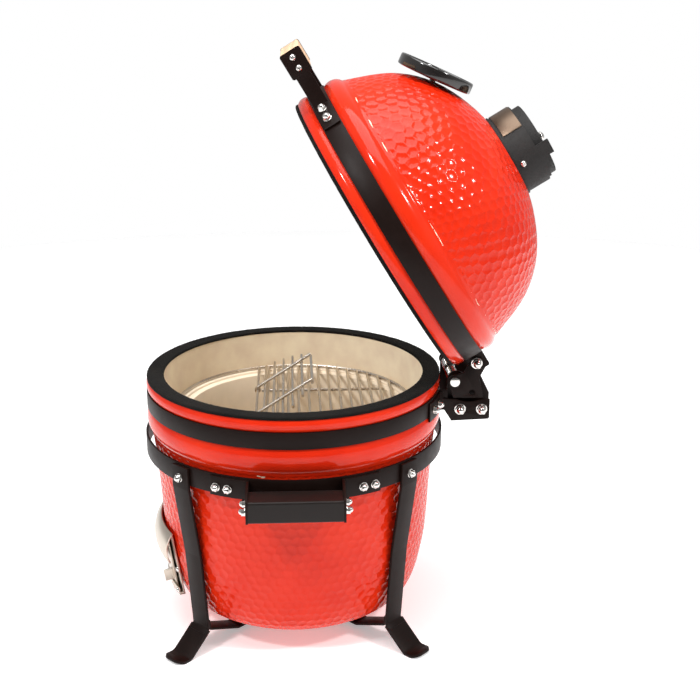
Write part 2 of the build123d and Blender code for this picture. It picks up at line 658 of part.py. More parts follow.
# --- top vent -----------------------------------------------------------------------------------
vent_peak = 254.5           # top of the two high stretches of the stepped wall
stairs = ((106.0, 10.5, 248.0), (116.5, 10.5, 243.5), (127.0, 20.0, 239.8), (147.0, 118.5, vent_wall_top))
web_z, web_t = 211.0, 4.0
hole_ring_r, hole_r = 28.0, 10.0
with BuildPart() as vent_base:
    hoop(vent_r - vent_wall, vent_r, dome_seat_z, vent_peak)
    for turn in (0, 180):
        for start, sweep, top in stairs:
            hoop(vent_r - vent_wall - 3, vent_r + 3, top, vent_peak + 3, start + turn, sweep, Mode.SUBTRACT)
    hoop(dome_hole_r - 4.5, vent_r + 2.0, dome_seat_z, dome_seat_z + 3.5)
    hoop(dome_hole_r - 4.5, dome_hole_r - 0.5, 184.0, dome_seat_z + 2.0)
    with BuildSketch(Plane.XY.offset(web_z)):
        Circle(vent_r - vent_wall + 0.5)
        with PolarLocations(hole_ring_r, vent_holes):
            Circle(hole_r, mode=Mode.SUBTRACT)
    extrude(amount=web_t)
    with BuildSketch(Plane.XY.offset(web_z + web_t)):
        Circle(pin_r)
    extrude(amount=cap_top - 0.5 - web_z - web_t)
vent_base.part.label = "vent_base"
export_step(opened(vent_base.part), "parts/vent_base.step")

vent_floor_gap = 0.4
with BuildPart() as vent_cap:
    with BuildSketch(Plane.XY.offset(web_z + web_t + vent_floor_gap)):
        Circle(cap_r)
        with PolarLocations(hole_ring_r, vent_holes, start_angle=30):
            Circle(hole_r, mode=Mode.SUBTRACT)
    extrude(amount=3.0)
    hoop(cap_r - 5.0, cap_r, web_z + web_t + vent_floor_gap, cap_top)
    hoop(cap_r - 9.0, cap_r, cap_top - 4.0, cap_top)
    with BuildSketch(Plane.XY.offset(cap_top - 4.0)):
        Circle(12.0)
        with PolarLocations(0, 3):
            with Locations((24.0, 0)):
                Rectangle(36.0, 9.0)
    extrude(amount=4.0)
    with BuildSketch(Plane.XY.offset(web_z + web_t + vent_floor_gap)):
        Circle(pin_r + 0.06)
    extrude(amount=cap_top, mode=Mode.SUBTRACT)
vent_cap.part.label = "vent_cap"
export_step(opened(vent_cap.part), "parts/vent_cap.step")

with BuildPart() as vent_knob:
    with BuildSketch(Plane.XZ):
        with BuildLine():
            Polyline((0, cap_top + 0.1), (7.5, cap_top + 0.1), (5.0, cap_top + 3.5), (5.6, cap_top + 7.0),
                     (0, cap_top + 7.0), (0, cap_top + 0.1))
        make_face()
        make_face(domed(5.6, cap_top + 7.0, cap_top + 10.0))
    revolve(axis=Axis.Z)
vent_knob.part.label = "vent_knob"
export_step(opened(vent_knob.part), "parts/vent_knob.step")

with BuildPart() as name_plate:
    hoop(vent_r + 0.1, vent_r + 1.1, 208.6, 235.4, -52.5, 105.0)
name_plate.part.label = "name_plate"
export_step(opened(name_plate.part), "parts/name_plate.step")

vent_screws = group(screw, [outward(az, vent_r, 213.2) for az in (98.5, -98.5)])
vent_screws.part.label = "vent_screws"
export_step(opened(vent_screws.part), "parts/vent_screws.step")

# --- thermometer --------------------------------------------------------------------------------
case_floor, dial_z, needle_z, lens_z = 1.6, 6.0, 8.2, 11.0
dial_r = thermo_r - 4.6
with BuildPart() as thermo_case:
    with BuildSketch(thermo.offset(case_floor)):
        Circle(thermo_r)
    extrude(amount=thermo_h)
    with BuildSketch(thermo.offset(dial_z)):
        Circle(dial_r)
    extrude(amount=thermo_h, mode=Mode.SUBTRACT)
thermo_case.part.label = "thermo_case"
export_step(opened(thermo_case.part), "parts/thermo_case.step")

with BuildPart() as thermo_dial:
    with BuildSketch(thermo.offset(dial_z)):
        Circle(dial_r - 0.1)
    extrude(amount=1.0)
    with BuildSketch(thermo.offset(dial_z + 1.0)):
        Circle(1.5)
    extrude(amount=2.6)
thermo_dial.part.label = "thermo_dial"
export_step(opened(thermo_dial.part), "parts/thermo_dial.step")

needle_rest = 215.0         # cold reading, lower left of the dial
with BuildPart() as thermo_needle:
    with BuildSketch(thermo.offset(needle_z)):
        with Locations(Rotation(0, 0, needle_rest)):
            with BuildLine():
                Polyline((-12.0, -1.6), (36.0, -0.5), (36.0, 0.5), (-12.0, 1.6), close=True)
            make_face()
        Circle(4.0)
        Circle(1.56, mode=Mode.SUBTRACT)
    extrude(amount=0.9)
thermo_needle.part.label = "thermo_needle"
export_step(opened(thermo_needle.part), "parts/thermo_needle.step")

with BuildPart() as thermo_lens:
    with BuildSketch(thermo.offset(lens_z)):
        Circle(dial_r - 0.1)
    extrude(amount=2.0)
thermo_lens.part.label = "thermo_lens"
export_step(opened(thermo_lens.part), "parts/thermo_lens.step")

with BuildPart() as thermo_stem:
    with BuildSketch(thermo.offset(-78.0)):
        Circle(4.0)
    extrude(amount=78.0 + case_floor)
    with BuildSketch(thermo.offset(0.5)):
        Circle(15.0)
    extrude(amount=case_floor - 0.5)
thermo_stem.part.label = "thermo_stem"
export_step(opened(thermo_stem.part), "parts/thermo_stem.step")

with BuildPart() as thermo_nut:
    with BuildSketch(thermo.offset(-30.5)):
        RegularPolygon(9.0, 6, major_radius=False)
        Circle(4.0, mode=Mode.SUBTRACT)
    extrude(amount=7.0)
thermo_nut.part.label = "thermo_nut"
export_step(opened(thermo_nut.part), "parts/thermo_nut.step")
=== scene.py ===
"""Looks of a compact ceramic kamado grill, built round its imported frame. Metres, Z up, front at -Y."""
import json
import math
import random

import bpy
import numpy as np
from bpy.props import FloatProperty, FloatVectorProperty, IntProperty, PointerProperty
from mathutils import Matrix, Vector


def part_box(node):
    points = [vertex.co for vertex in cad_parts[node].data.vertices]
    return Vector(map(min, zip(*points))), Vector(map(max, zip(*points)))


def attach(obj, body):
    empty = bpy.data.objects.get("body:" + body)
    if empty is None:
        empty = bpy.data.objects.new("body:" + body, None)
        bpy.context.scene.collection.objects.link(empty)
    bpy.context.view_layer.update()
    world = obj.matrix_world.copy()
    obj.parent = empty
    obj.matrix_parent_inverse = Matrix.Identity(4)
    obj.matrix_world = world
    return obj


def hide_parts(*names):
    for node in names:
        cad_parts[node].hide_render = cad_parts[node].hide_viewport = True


bl_info = {
    "name": "Kamado grill",
    "version": (1, 0, 0),
    "blender": (4, 5, 0),
    "location": "3D View > Sidebar > Kamado",
    "description": "Builds the finishes and the detailed pieces of a ceramic kamado grill",
    "category": "Object",
}

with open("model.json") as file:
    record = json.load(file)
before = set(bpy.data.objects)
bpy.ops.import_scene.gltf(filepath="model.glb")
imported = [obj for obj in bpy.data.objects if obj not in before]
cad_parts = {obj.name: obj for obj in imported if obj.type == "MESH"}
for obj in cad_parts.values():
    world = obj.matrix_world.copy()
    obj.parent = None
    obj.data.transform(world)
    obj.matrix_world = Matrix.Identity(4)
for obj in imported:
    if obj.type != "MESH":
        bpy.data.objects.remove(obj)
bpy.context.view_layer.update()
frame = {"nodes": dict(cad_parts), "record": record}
NODES = frame["nodes"]
RECORD = frame["record"]
JOINTS = {joint["name"]: joint for joint in RECORD["behaviour"]["joints"]}
BODY_OF = {node: body for body, nodes in RECORD["behaviour"]["bodies"].items() for node in nodes}
SLOT_OF = {part["node"]: part["material_slot"] for part in RECORD["subparts"]}
MM = 0.001
WELD = 1e-6              # points closer than this are one, in metres
CAD_WELD = 2e-6          # the same for the loose triangles of a CAD node
SKIN_WELD = 0.05 * MM    # the same for the corners of dimples
TURN_STEPS = 180         # facets round a shell
FELT_STEPS = 300         # facets round a gasket

# The bowl's upright axis, the gasket plane and the lid's swing, read from the frame.
BOWL_Y = JOINTS["draft_door_slide"]["pos_m"][1]
RIM_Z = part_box("base_gasket")[1].z
PIVOT = Vector(JOINTS["lid_hinge"]["pos_m"])
SWING = math.radians(JOINTS["lid_hinge"]["range_deg"][1])
BASE_PLACE = Matrix.Translation((0, BOWL_Y, RIM_Z))
LID_PLACE = (Matrix.Translation(PIVOT) @ Matrix.Rotation(-SWING, 4, "X")
             @ Matrix.Translation(-PIVOT) @ BASE_PLACE)


# --- settings a user would change ---------------------------------------------------------------
class KamadoShape(bpy.types.PropertyGroup):
    dimple_pitch: FloatProperty(name="Dimple pitch", description="Distance between dimples in the glaze",
                                default=13.9 * MM, unit="LENGTH")
    dimple_depth: FloatProperty(name="Dimple depth", description="Depth of a dimple below its ridges",
                                default=0.85 * MM, unit="LENGTH")
    spring_turns: IntProperty(name="Spring turns", description="Turns of each hinge spring", default=8)
    spring_wire: FloatProperty(name="Spring wire", description="Diameter of the hinge springs' wire",
                               default=3.2 * MM, unit="LENGTH")
    edge_round: FloatProperty(name="Edge rounding", description="Rounding on the edges of sheet steel",
                              default=0.45 * MM, unit="LENGTH")


class KamadoFinish(bpy.types.PropertyGroup):
    glaze: FloatVectorProperty(name="Glaze", description="Colour of the glaze", subtype="COLOR", size=3,
                               default=(0.71, 0.028, 0.006))
    glaze_deep: FloatVectorProperty(name="Glaze, deep", description="Glaze where it pools", subtype="COLOR",
                                    size=3, default=(0.64, 0.019, 0.004))
    bisque: FloatVectorProperty(name="Bare ceramic", description="Unglazed ceramic", subtype="COLOR", size=3,
                                default=(0.97, 0.80, 0.60))
    powder: FloatVectorProperty(name="Powder coat", description="Black of the stand and hinge",
                                subtype="COLOR", size=3, default=(0.0085, 0.0034, 0.0024))
    wood: FloatVectorProperty(name="Wood", description="Lid handle", subtype="COLOR", size=3,
                              default=(0.83, 0.57, 0.35))


class KamadoStudio(bpy.types.PropertyGroup):
    surround: FloatProperty(name="Surround", description="Brightness of the studio walls", default=0.45)
    lamp: FloatProperty(name="Lamps", description="Power of the two small softboxes", default=32.0,
                        unit="POWER")
    overhead: FloatProperty(name="Overhead", description="Power of the large softbox above", default=52.0,
                            unit="POWER")
    floor: FloatVectorProperty(name="Floor", description="Colour of the floor", subtype="COLOR", size=3,
                               default=(0.93, 0.93, 0.93))
    lens: FloatProperty(name="Lens", description="Focal length on a 36 mm sensor, in millimetres",
                        default=61.44)


# --- mesh helpers -------------------------------------------------------------------------------
def only(obj):
    """Makes obj the one selected and active object, in object mode."""
    if bpy.context.object and bpy.context.object.mode != "OBJECT":
        bpy.ops.object.mode_set(mode="OBJECT")
    bpy.ops.object.select_all(action="DESELECT")
    if obj is not None:
        obj.hide_set(False)
        obj.select_set(True)
        bpy.context.view_layer.objects.active = obj


def edit_all(obj):
    only(obj)
    bpy.ops.object.mode_set(mode="EDIT")
    bpy.ops.mesh.select_mode(type="VERT")
    bpy.ops.mesh.select_all(action="SELECT")


def settle(obj, angle=None):
    """Back to object mode with the object's place in its mesh, shaded smooth up to an angle."""
    only(obj)
    bpy.ops.object.transform_apply(location=True, rotation=True, scale=True)
    if angle is None:
        bpy.ops.object.shade_smooth()
    else:
        bpy.ops.object.shade_smooth_by_angle(angle=math.radians(angle))


def modify(obj, kind, **settings):
    only(obj)
    modifier = obj.modifiers.new(kind.title(), kind)
    for key, value in settings.items():
        setattr(modifier, key, value)
    bpy.ops.object.modifier_apply(modifier=modifier.name)


def finish_piece(obj, body, slot, *nodes):
    """Rides on a body and stands for the CAD nodes named; its slot argument is not used."""
    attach(obj, body)
    if nodes:
        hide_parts(*nodes)
    return obj


def start_point(name, at):
    """An object of one vertex, left in edit mode with that vertex selected."""
    only(None)
    bpy.ops.mesh.primitive_plane_add(size=MM)
    obj = bpy.context.object
    obj.name = obj.data.name = name
    bpy.ops.object.mode_set(mode="EDIT")
    bpy.ops.mesh.select_mode(type="VERT")
    bpy.ops.mesh.select_all(action="SELECT")
    bpy.ops.mesh.merge(type="CENTER")
    bpy.ops.transform.translate(value=at)
    return obj


def draw_outline(name, outline):
    """An outline of (radius, height) drawn vertex by vertex in the XZ plane, left in edit mode."""
    obj = start_point(name, (outline[0][0], 0, outline[0][1]))
    for (r0, z0), (r1, z1) in zip(outline, outline[1:]):
        bpy.ops.mesh.extrude_region_move(TRANSFORM_OT_translate={"value": (r1 - r0, 0, z1 - z0)})
    return obj


def turned(name, outline, steps, angle=2 * math.pi):
    """A shape turned about Z from an outline; a closed outline ends where it starts."""
    obj = draw_outline(name, outline)
    bpy.ops.mesh.select_all(action="SELECT")
    bpy.ops.mesh.spin(steps=steps, angle=angle, center=(0, 0, 0), axis=(0, 0, 1))
    bpy.ops.mesh.select_all(action="SELECT")
    bpy.ops.mesh.remove_doubles(threshold=WELD)
    bpy.ops.mesh.normals_make_consistent(inside=False)
    bpy.ops.object.mode_set(mode="OBJECT")
    return obj


def arc(a, b, c, count):
    """Points of the circle through a, b and c, from a to c."""
    (ax, ay), (bx, by), (cx, cy) = a, b, c
    d = 2 * (ax * (by - cy) + bx * (cy - ay) + cx * (ay - by))
    ux = ((ax * ax + ay * ay) * (by - cy) + (bx * bx + by * by) * (cy - ay)
          + (cx * cx + cy * cy) * (ay - by)) / d
    uy = ((ax * ax + ay * ay) * (cx - bx) + (bx * bx + by * by) * (ax - cx)
          + (cx * cx + cy * cy) * (bx - ax)) / d
    t0, t1, t2 = (math.atan2(y - uy, x - ux) for x, y in (a, b, c))
    turn = (t2 - t0) % (2 * math.pi)
    if (t1 - t0) % (2 * math.pi) > turn:
        turn -= 2 * math.pi
    radius = math.hypot(ax - ux, ay - uy)
    return [(ux + radius * math.cos(t0 + turn * i / count), uy + radius * math.sin(t0 + turn * i / count))
            for i in range(count + 1)]


def smooth_line(points, count):
    """A smooth curve through points, with count spans between each two."""
    pts = [Vector(p) for p in points]
    pts = [2 * pts[0] - pts[1]] + pts + [2 * pts[-1] - pts[-2]]
    line = []
    for p0, p1, p2, p3 in zip(pts, pts[1:], pts[2:], pts[3:]):
        t1 = (p1 - p0).length ** 0.5
        t2 = t1 + (p2 - p1).length ** 0.5
        t3 = t2 + (p3 - p2).length ** 0.5
        for i in range(count):
            t = t1 + (t2 - t1) * i / count
            a1 = p0 * ((t1 - t) / t1) + p1 * (t / t1)
            a2 = p1 * ((t2 - t) / (t2 - t1)) + p2 * ((t - t1) / (t2 - t1))
            a3 = p2 * ((t3 - t) / (t3 - t2)) + p3 * ((t - t2) / (t3 - t2))
            b1 = a1 * ((t2 - t) / t2) + a2 * (t / t2)
            b2 = a2 * ((t3 - t) / (t3 - t1)) + a3 * ((t - t1) / (t3 - t1))
            line.append(tuple(b1 * ((t2 - t) / (t2 - t1)) + b2 * ((t - t1) / (t2 - t1))))
    line.append(tuple(points[-1]))
    return line


def metres(points):
    return [tuple(v * MM for v in point) for point in points]


def refined(node, rounding=None, angle=32):
    """A copy of a CAD node with its triangles merged, its flats cleaned and its edges rounded."""
    source = NODES[node]
    copy = source.copy()
    copy.data = source.data.copy()
    copy.name = copy.data.name = f"{node}_finished"
    copy.data.materials.clear()
    bpy.context.scene.collection.objects.link(copy)
    copy.parent = None
    copy.matrix_world = source.matrix_world.copy()
    if copy.data.has_custom_normals:
        only(copy)
        bpy.ops.mesh.customdata_custom_splitnormals_clear()
    edit_all(copy)
    bpy.ops.mesh.remove_doubles(threshold=CAD_WELD)
    if rounding:
        bpy.ops.mesh.dissolve_limited(angle_limit=math.radians(0.6))
    bpy.ops.object.mode_set(mode="OBJECT")
    if rounding:
        modify(copy, "BEVEL", width=rounding, segments=2, limit_method="ANGLE",
               angle_limit=math.radians(38), use_clamp_overlap=True, harden_normals=False)
    settle(copy, angle)
    return finish_piece(copy, BODY_OF[node], SLOT_OF[node], node)


# --- materials ----------------------------------------------------------------------------------
def group_tree(name, inputs, outputs):
    tree = bpy.data.node_groups.new(name, "ShaderNodeTree")
    for label, kind, value in inputs:
        socket = tree.interface.new_socket(name=label, in_out="INPUT", socket_type=kind)
        if value is not None:
            socket.default_value = value
    for label, kind in outputs:
        tree.interface.new_socket(name=label, in_out="OUTPUT", socket_type=kind)
    return tree, tree.nodes.new("NodeGroupInput"), tree.nodes.new("NodeGroupOutput")


def node_in(tree, kind, links=None, **settings):
    """A node with its settings; links maps an input's name or index to a value or another output."""
    made = tree.nodes.new(kind)
    for key, value in settings.items():
        setattr(made, key, value)
    for key, value in (links or {}).items():
        if isinstance(value, bpy.types.NodeSocket):
            tree.links.new(value, made.inputs[key])
        else:
            made.inputs[key].default_value = value
    return made


def speckle_group():
    """Fine grain at a size: a height for bump and a mottled mask, both from 0 to 1."""
    tree, start, end = group_tree(
        "Fine grain", [("Size", "NodeSocketFloat", 500.0), ("Stretch", "NodeSocketVector", None)],
        [("Height", "NodeSocketFloat"), ("Mottle", "NodeSocketFloat")])
    where = node_in(tree, "ShaderNodeTexCoord")
    stretched = node_in(tree, "ShaderNodeVectorMath",
                        {0: where.outputs["Object"], 1: start.outputs["Stretch"]}, operation="MULTIPLY")
    fine = node_in(tree, "ShaderNodeTexNoise",
                   {"Vector": stretched.outputs[0], "Scale": start.outputs["Size"],
                    "Detail": 4.0, "Roughness": 0.6})
    coarse_size = node_in(tree, "ShaderNodeMath", {0: start.outputs["Size"], 1: 0.035}, operation="MULTIPLY")
    coarse = node_in(tree, "ShaderNodeTexNoise", {"Vector": stretched.outputs[0],
                                                  "Scale": coarse_size.outputs[0], "Detail": 5.0})
    tree.links.new(fine.outputs["Fac"], end.inputs["Height"])
    tree.links.new(coarse.outputs["Fac"], end.inputs["Mottle"])
    return tree


def wear_group():
    """Two colours mixed by a mask, with a roughness that follows it."""
    tree, start, end = group_tree(
        "Two tones", [("Mask", "NodeSocketFloat", 0.5), ("Low", "NodeSocketColor", (0, 0, 0, 1)),
                      ("High", "NodeSocketColor", (1, 1, 1, 1)), ("Low roughness", "NodeSocketFloat", 0.3),
                      ("High roughness", "NodeSocketFloat", 0.5)],
        [("Color", "NodeSocketColor"), ("Roughness", "NodeSocketFloat")])
    spread = node_in(tree, "ShaderNodeMapRange", {"Value": start.outputs["Mask"], "From Min": 0.32,
                                                  "From Max": 0.68})
    mixed = node_in(tree, "ShaderNodeMix", data_type="RGBA")
    tree.links.new(spread.outputs[0], mixed.inputs["Factor"])
    tree.links.new(start.outputs["Low"], mixed.inputs["A"])
    tree.links.new(start.outputs["High"], mixed.inputs["B"])
    tree.links.new([s for s in mixed.outputs if s.type == "RGBA"][0], end.inputs["Color"])
    rough = node_in(tree, "ShaderNodeMapRange", {"Value": spread.outputs[0]})
    tree.links.new(start.outputs["Low roughness"], rough.inputs["To Min"])
    tree.links.new(start.outputs["High roughness"], rough.inputs["To Max"])
    tree.links.new(rough.outputs[0], end.inputs["Roughness"])
    return tree


GROUPS = {}
MATERIALS = {}


def surface(name, low, high, rough, size=500.0, stretch=(1, 1, 1), bump=0.0, bump_depth=0.0002, **fixed):
    """A finish: two tones of a colour, a range of roughness and a fine bump, all over the object."""
    material = bpy.data.materials.new(name)
    material.use_nodes = True
    tree = material.node_tree
    shader = tree.nodes["Principled BSDF"]
    grain = node_in(tree, "ShaderNodeGroup", node_tree=GROUPS["grain"])
    grain.inputs["Size"].default_value = size
    grain.inputs["Stretch"].default_value = stretch
    tones = node_in(tree, "ShaderNodeGroup", node_tree=GROUPS["tones"])
    tones.inputs["Low"].default_value = (*low, 1)
    tones.inputs["High"].default_value = (*high, 1)
    tones.inputs["Low roughness"].default_value = rough[0]
    tones.inputs["High roughness"].default_value = rough[1]
    tree.links.new(grain.outputs["Mottle"], tones.inputs["Mask"])
    tree.links.new(tones.outputs["Color"], shader.inputs["Base Color"])
    tree.links.new(tones.outputs["Roughness"], shader.inputs["Roughness"])
    if bump:
        relief = node_in(tree, "ShaderNodeBump", {"Height": grain.outputs["Height"], "Strength": bump,
                                                  "Distance": bump_depth})
        tree.links.new(relief.outputs["Normal"], shader.inputs["Normal"])
    for socket, value in fixed.items():
        shader.inputs[socket.replace("_", " ")].default_value = value
    MATERIALS[name] = material
    return material


def shades(colour, spread):
    """A darker and a lighter tone of a colour."""
    return [tuple(min(1.0, c * (1 + side * spread)) for c in colour) for side in (-1, 1)]


def wood_material(colour):
    """Pale hardwood: long grain along X, faint rings on the ends."""
    material = surface("oiled_wood", *shades(colour, 0.08), (0.42, 0.55), size=260.0, stretch=(0.06, 1, 1),
                       bump=0.25, bump_depth=0.0002)
    tree = material.node_tree
    shader = tree.nodes["Principled BSDF"]
    where = node_in(tree, "ShaderNodeTexCoord")
    along = node_in(tree, "ShaderNodeVectorMath", {0: where.outputs["Object"], 1: (0.35, 7.0, 7.0)},
                    operation="MULTIPLY")
    rings = node_in(tree, "ShaderNodeTexWave", {"Vector": along.outputs[0], "Scale": 9.0, "Distortion": 5.5,
                                                "Detail": 3.0, "Detail Scale": 1.6},
                    wave_type="RINGS", rings_direction="X")
    faint = node_in(tree, "ShaderNodeMapRange",
                    {"Value": rings.outputs["Fac"], "To Min": 0.80, "To Max": 1.0})
    darker = node_in(tree, "ShaderNodeMix", data_type="RGBA", blend_type="MULTIPLY")
    darker.inputs["Factor"].default_value = 1.0
    tree.links.new(shader.inputs["Base Color"].links[0].from_socket, darker.inputs["A"])
    grey = node_in(tree, "ShaderNodeCombineColor", {0: faint.outputs[0], 1: faint.outputs[0],
                                                    2: faint.outputs[0]})
    tree.links.new(grey.outputs[0], darker.inputs["B"])
    tree.links.new([s for s in darker.outputs if s.type == "RGBA"][0], shader.inputs["Base Color"])
    return material


def make_materials(finish):
    GROUPS["grain"] = speckle_group()
    GROUPS["tones"] = wear_group()
    glaze_low, glaze_high = tuple(finish.glaze_deep), tuple(finish.glaze)
    surface("red_glaze", glaze_low, glaze_high, (0.10, 0.16), size=420.0, bump=0.05, bump_depth=0.0001,
            Coat_Weight=0.1, Coat_Roughness=0.04, Specular_IOR_Level=0.18)
    surface("bare_ceramic", *shades(tuple(finish.bisque), 0.09), (0.78, 0.92), size=900.0, bump=0.35,
            bump_depth=0.0003)
    surface("pale_ceramic", *shades((0.93, 0.80, 0.63), 0.05), (0.62, 0.8), size=900.0, bump=0.3,
            bump_depth=0.0003)
    surface("black_felt", (0.0035, 0.003, 0.0026), (0.0085, 0.007, 0.006), (0.92, 1.0), size=900.0, bump=1.0,
            bump_depth=0.0009, Sheen_Weight=0.04, Sheen_Roughness=0.6, Specular_IOR_Level=0.05)
    surface("powder_coat", *shades(tuple(finish.powder), 0.10), (0.4, 0.48), size=1500.0, bump=0.35,
            bump_depth=0.00012, Specular_IOR_Level=0.13)
    surface("grip_coat", *shades((0.011, 0.0075, 0.0065), 0.10), (0.36, 0.44), size=1300.0, bump=0.25,
            bump_depth=0.0001, Specular_IOR_Level=0.2)
    surface("wire_steel", *shades((0.62, 0.56, 0.49), 0.10), (0.22, 0.36), size=700.0, stretch=(0.05, 1, 1),
            bump=0.12, bump_depth=0.0001, Metallic=1.0)
    surface("sheet_steel", *shades((0.60, 0.53, 0.45), 0.08), (0.26, 0.38), size=900.0,
            stretch=(0.06, 0.06, 1), bump=0.16, bump_depth=0.0001, Metallic=1.0)
    surface("polished_steel", *shades((0.74, 0.71, 0.68), 0.05), (0.09, 0.16), size=600.0, bump=0.04,
            bump_depth=0.00005, Metallic=1.0)
    surface("rough_iron", (0.009, 0.008, 0.0075), (0.017, 0.015, 0.014), (0.5, 0.66), size=1050.0, bump=0.9,
            bump_depth=0.0007, Specular_IOR_Level=0.35)
    surface("label_metal", (0.13, 0.09, 0.063), (0.18, 0.125, 0.088), (0.36, 0.48), size=1500.0,
            stretch=(1, 0.04, 0.04), bump=0.15, bump_depth=0.00005, Metallic=0.85)
    surface("gloss_black", (0.008, 0.007, 0.0065), (0.012, 0.0105, 0.01), (0.1, 0.16), size=500.0, bump=0.04,
            bump_depth=0.00005, Coat_Weight=0.6, Coat_Roughness=0.05)
    surface("dial_white", *shades((0.80, 0.78, 0.74), 0.02), (0.5, 0.56), size=800.0, bump=0.04,
            bump_depth=0.00003)
    surface("dial_ink", *shades((0.015, 0.015, 0.015), 0.1), (0.5, 0.6), size=800.0, bump=0.04,
            bump_depth=0.00003)
    surface("needle_red", *shades((0.55, 0.015, 0.01), 0.05), (0.35, 0.42), size=800.0, bump=0.04,
            bump_depth=0.00003)
    surface("silicone", *shades((0.02, 0.02, 0.02), 0.1), (0.7, 0.8), size=700.0, bump=0.2,
            bump_depth=0.0001)
    wood_material(tuple(finish.wood))
    glass = bpy.data.materials.new("dial_glass")
    glass.use_nodes = True
    shader = glass.node_tree.nodes["Principled BSDF"]
    for socket, value in (("Base Color", (0.95, 0.97, 0.97, 1)), ("Roughness", 0.03), ("IOR", 1.46),
                          ("Transmission Weight", 1.0), ("Metallic", 0.0)):
        shader.inputs[socket].default_value = value
    MATERIALS["dial_glass"] = glass


def paint(obj, *names):
    obj.data.materials.clear()
    for name in names:
        obj.data.materials.append(MATERIALS[name])
    return obj


# --- glazed shells ------------------------------------------------------------------------------
# Outlines of (radius, height) in millimetres about the bowl's axis; height 0 is the gasket plane.
BASE_BEADS = (arc((198.5, -3.0), (201.0, -9.5), (198.4, -19.0), 10)
              + [(198.4, -19.0 - 5.5 * i) for i in range(1, 4)]
              + arc((198.4, -41.0), (201.8, -55.0), (195.6, -75.0), 18))
BASE_WALL = smooth_line([(195.6, -75.0), (192.0, -110.0), (189.0, -150.0), (183.6, -230.0), (178.5, -260.0),
                         (171.8, -288.0), (163.0, -308.0), (149.0, -321.0), (126.0, -331.5), (97.0, -338.0),
                         (60.0, -341.0)], 24)
BASE_INSIDE = smooth_line([(100.0, -318.0), (125.0, -311.0), (150.0, -287.0), (163.0, -235.0),
                           (169.0, -150.0), (175.0, -54.0), (177.5, -3.0)], 8)
LID_BEADS = (arc((200.0, 5.5), (203.2, 12.5), (201.4, 21.0), 10)
             + [(201.4, 21.0 + 6.125 * i) for i in range(1, 4)]
             + arc((201.4, 45.5), (204.0, 55.0), (196.0, 70.0), 16))
LID_WALL = smooth_line([(196.0, 70.0), (189.2, 88.0), (181.0, 109.0), (170.7, 129.5), (155.4, 150.0),
                        (134.1, 169.6), (108.5, 185.0), (78.0, 197.5), (60.0, 202.5)], 24)
LID_INSIDE = smooth_line([(42.0, 181.5), (85.0, 172.0), (130.0, 146.0), (160.0, 105.0), (174.0, 55.0),
                          (177.5, 5.5)], 8)


BOWL_FLOOR, BOWL_BOTTOM = -318.0, -341.0
VENT_HOLE = (42.0, 202.5)
DOME_CENTRE_Z = 10.0     # the dimples of the dome are spread about this point of the axis
SKIN_GAP = 2.0           # smooth band that bridges a dimpled skin to the turned wall
CORNER_SHIFT = 1.5       # most that a corner of a dimple strays from its even place
# Steps from a dimple's ridge to its middle: width in pitches and drop in depths.
DIMPLE_STEPS = ((0.045, 0.06), (0.075, 0.30), (0.11, 0.38), (0.12, 0.26))
DRAFT_TURN = (-22.0, 1.0)        # the draft opening's ends round the bowl, from the front, in degrees
DRAFT_CUT = ((145, -286), (215, -286), (215, -242), (145, -242), (145, -286))


class Wall:
    """A turned wall that can be read by its arc length from the start of its outline."""

    def __init__(self, outline):
        self.points = np.array(outline)
        steps = np.hypot(*np.diff(self.points, axis=0).T)
        self.lengths = np.concatenate([[0.0], np.cumsum(steps)])
        self.total = self.lengths[-1]

    def at(self, s):
        return (float(np.interp(s, self.lengths, self.points[:, 0])),
                float(np.interp(s, self.lengths, self.points[:, 1])))

    def part(self, start, end, step):
        """Points of the outline between two arc lengths."""
        count = max(1, round(abs(end - start) / step))
        return [self.at(start + (end - start) * i / count) for i in range(count + 1)]


def row_cells(wall, start, end, pitch):
    """Six-sided cells in rows round a nearly straight wall, as lists of (arc length, angle)."""
    columns = round(2 * math.pi * wall.at((start + end) / 2)[0] * 1.03 / pitch)
    rows = round((end - start) / (pitch * math.sqrt(3) / 2))
    height = (end - start) / rows
    cells = []
    for row in range(rows + 1):
        for column in range(columns):
            middle = 2 * column + row % 2
            s = start + height * row
            corners = [(s + height * 2 / 3, middle), (s + height / 3, middle + 1),
                       (s - height / 3, middle + 1), (s - height * 2 / 3, middle),
                       (s - height / 3, middle - 1), (s + height / 3, middle - 1)]
            cells.append([(cs, (cm % (2 * columns)) * math.pi / columns) for cs, cm in corners])
    return cells


